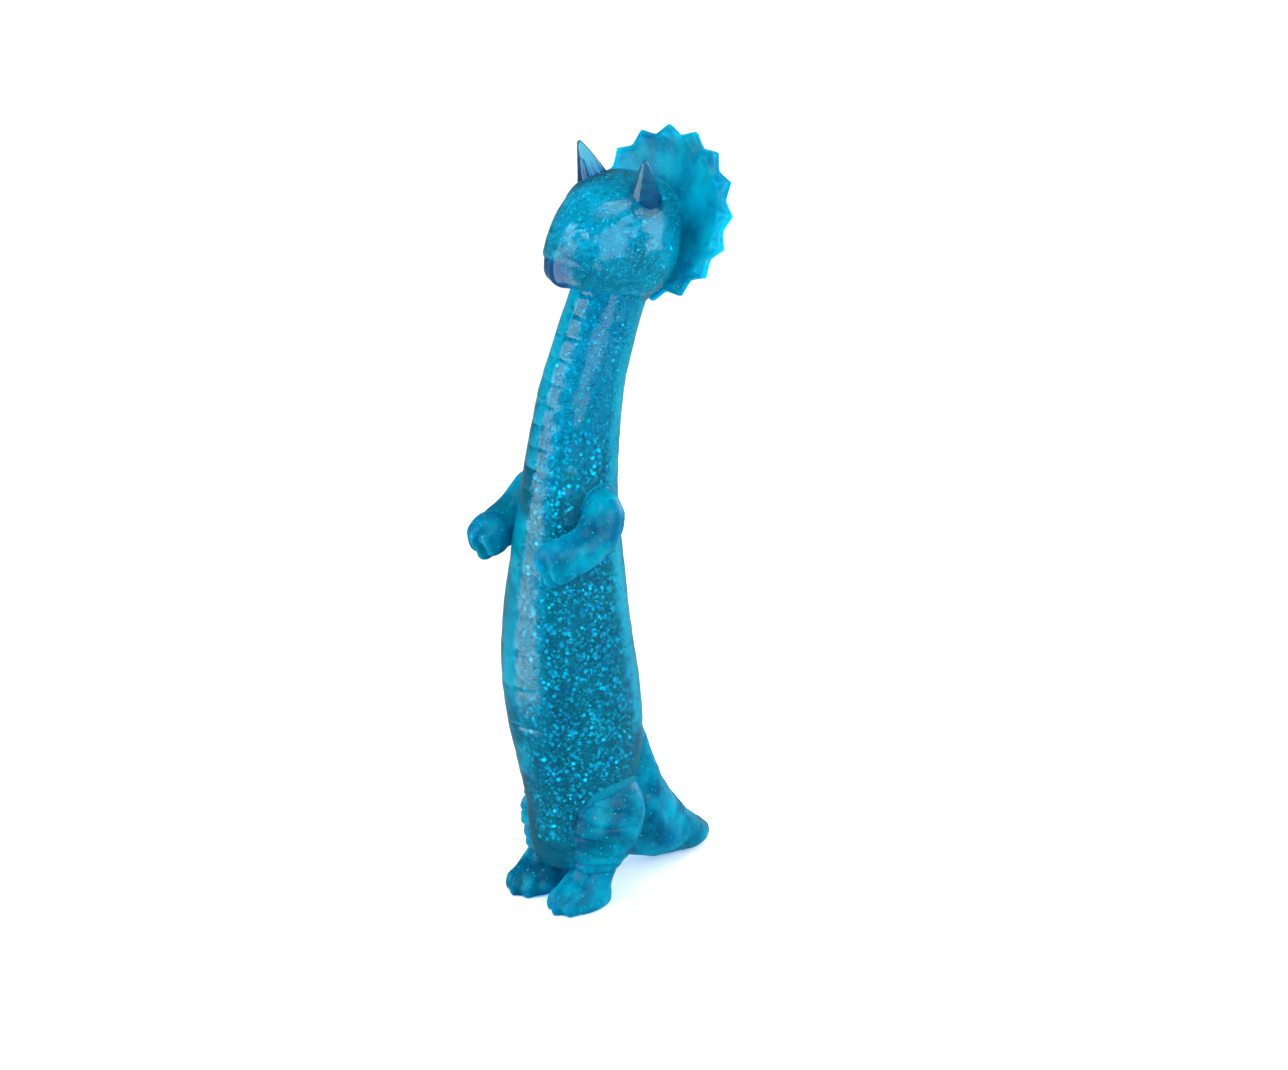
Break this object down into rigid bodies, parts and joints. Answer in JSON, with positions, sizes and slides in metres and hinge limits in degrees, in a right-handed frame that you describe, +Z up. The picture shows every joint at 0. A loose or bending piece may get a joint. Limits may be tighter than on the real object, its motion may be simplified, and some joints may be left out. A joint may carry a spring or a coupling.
{
  "type": "gel-filled stretchy toy dinosaur",
  "caption": "Upright long-necked horned dinosaur squeeze toy: clear blue glitter-gel rubber body, round scalloped frill, short arms, tail rest",
  "frame": {"origin": "centre of the bounding box in X and Y, on the floor under the feet and tail", "axes": "+Z up, -Y the way the toy faces, +X its left side"},
  "size_m": [0.0424, 0.0622, 0.1791],
  "materials": {
    "skin_rubber": "glossy clear blue thermoplastic rubber skin with belly scales",
    "glitter_gel": "clear blue gel with fine hexagonal cyan and silver glitter",
    "solid_rubber": "solid translucent blue rubber, smooth, slightly frosted",
    "horn_rubber": "pale clear rubber, glossy",
    "seal_glue": "clear sealing glue bead"
  },
  "bodies": {
    "torso": {"torso_skin": "skin_rubber", "torso_gel": "glitter_gel", "fill_plug": "solid_rubber", "plug_seal": "seal_glue", "left_leg": "solid_rubber", "right_leg": "solid_rubber", "left_shoulder": "solid_rubber", "right_shoulder": "solid_rubber", "tail_root": "solid_rubber"},
    "neck_lower": {"neck_base_flex": "skin_rubber", "neck_base_flex_gel": "glitter_gel", "lower_neck_skin": "skin_rubber", "lower_neck_gel": "glitter_gel"},
    "neck_upper": {"mid_neck_flex": "skin_rubber", "mid_neck_flex_gel": "glitter_gel", "upper_neck_skin": "skin_rubber", "upper_neck_gel": "glitter_gel"},
    "head": {"nape_flex": "skin_rubber", "nape_flex_gel": "glitter_gel", "head_skin": "skin_rubber", "head_gel": "glitter_gel", "frill": "solid_rubber", "left_brow_horn": "horn_rubber", "right_brow_horn": "horn_rubber", "left_eye": "solid_rubber", "right_eye": "solid_rubber"},
    "left_arm": {"left_arm": "solid_rubber"},
    "right_arm": {"right_arm": "solid_rubber"},
    "tail": {"tail_flex": "solid_rubber", "tail_tip": "solid_rubber"}
  },
  "joints": [
    {"name": "neck_bend", "type": "hinge", "parent": "torso", "child": "neck_lower", "pos_m": [0, -0.01188, 0.107], "axis": [1, 0, 0], "range_deg": [-20, 20], "stiffness_Nm_per_rad": 0.12, "deforming": ["neck_base_flex", "neck_base_flex_gel"]},
    {"name": "neck_sway", "type": "hinge", "parent": "neck_lower", "child": "neck_upper", "pos_m": [0, -0.00828, 0.125], "axis": [0, 0.9578, -0.2873], "range_deg": [-20, 20], "stiffness_Nm_per_rad": 0.1, "deforming": ["mid_neck_flex", "mid_neck_flex_gel"]},
    {"name": "head_nod", "type": "hinge", "parent": "neck_upper", "child": "head", "pos_m": [0, -0.00099, 0.1432], "axis": [1, 0, 0], "range_deg": [-12, 18], "stiffness_Nm_per_rad": 0.08, "deforming": ["nape_flex", "nape_flex_gel"]},
    {"name": "left_arm_swing", "type": "hinge", "parent": "torso", "child": "left_arm", "pos_m": [0.01185, -0.01248, 0.0972], "axis": [1, 0, 0], "range_deg": [-40, 0], "stiffness_Nm_per_rad": 0.01},
    {"name": "right_arm_swing", "type": "hinge", "parent": "torso", "child": "right_arm", "pos_m": [-0.01185, -0.01248, 0.0972], "axis": [1, 0, 0], "range_deg": [-40, 0], "stiffness_Nm_per_rad": 0.01},
    {"name": "tail_swing", "type": "hinge", "parent": "torso", "child": "tail", "pos_m": [0, 0.01642, 0.009], "axis": [0, 0, 1], "range_deg": [-20, 20], "stiffness_Nm_per_rad": 0.03, "deforming": ["tail_flex"]}
  ]
}
